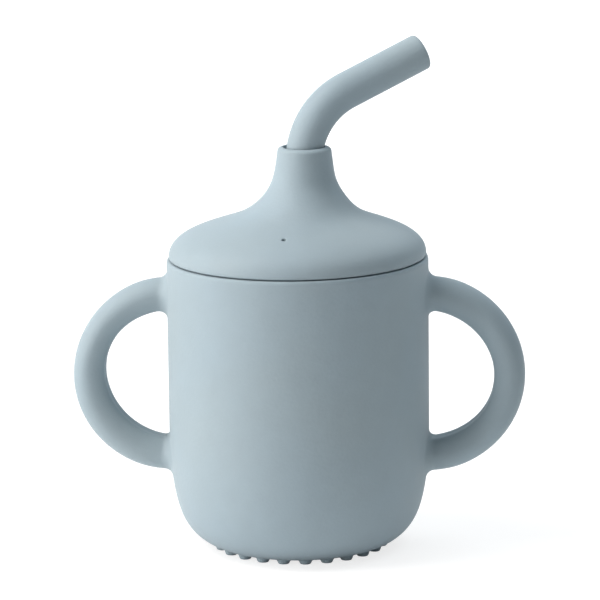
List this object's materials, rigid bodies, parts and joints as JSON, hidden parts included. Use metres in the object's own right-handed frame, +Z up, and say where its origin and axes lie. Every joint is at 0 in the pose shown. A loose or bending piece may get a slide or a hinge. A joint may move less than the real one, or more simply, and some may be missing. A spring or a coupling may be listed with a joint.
{
  "type": "sippy cup",
  "caption": "Toddler's soft silicone straw cup with looped handles, a domed plug-in lid with a straw neck and air vent, and a bent straw.",
  "frame": {"origin": "centre of the plane the cup's feet stand on, on the cup's axis", "axes": "+Z up along the cup's axis, +X and -X through the two handles, -Y the front, where the air vent is; the straw leans towards +X"},
  "size_m": [0.1216, 0.07, 0.1367],
  "materials": {
    "cup_silicone": "matte, fine powdery silicone, dusty grey-blue",
    "lid_silicone": "matte, fine powdery silicone, dusty grey-blue",
    "straw_silicone": "matte, fine powdery silicone, dusty grey-blue"
  },
  "bodies": {
    "cup": {"cup": "cup_silicone"},
    "lid": {"lid": "lid_silicone"},
    "straw": {"straw": "straw_silicone"}
  },
  "joints": [
    {"name": "lid_lift", "type": "slide", "parent": "cup", "child": "lid", "axis": [0, 0, 1], "range_m": [0, 0.09]},
    {"name": "straw_swivel", "type": "hinge", "parent": "lid", "child": "straw", "pos_m": [0.00205, 0, 0.1], "axis": [0, 0, 1], "continuous": true}
  ]
}
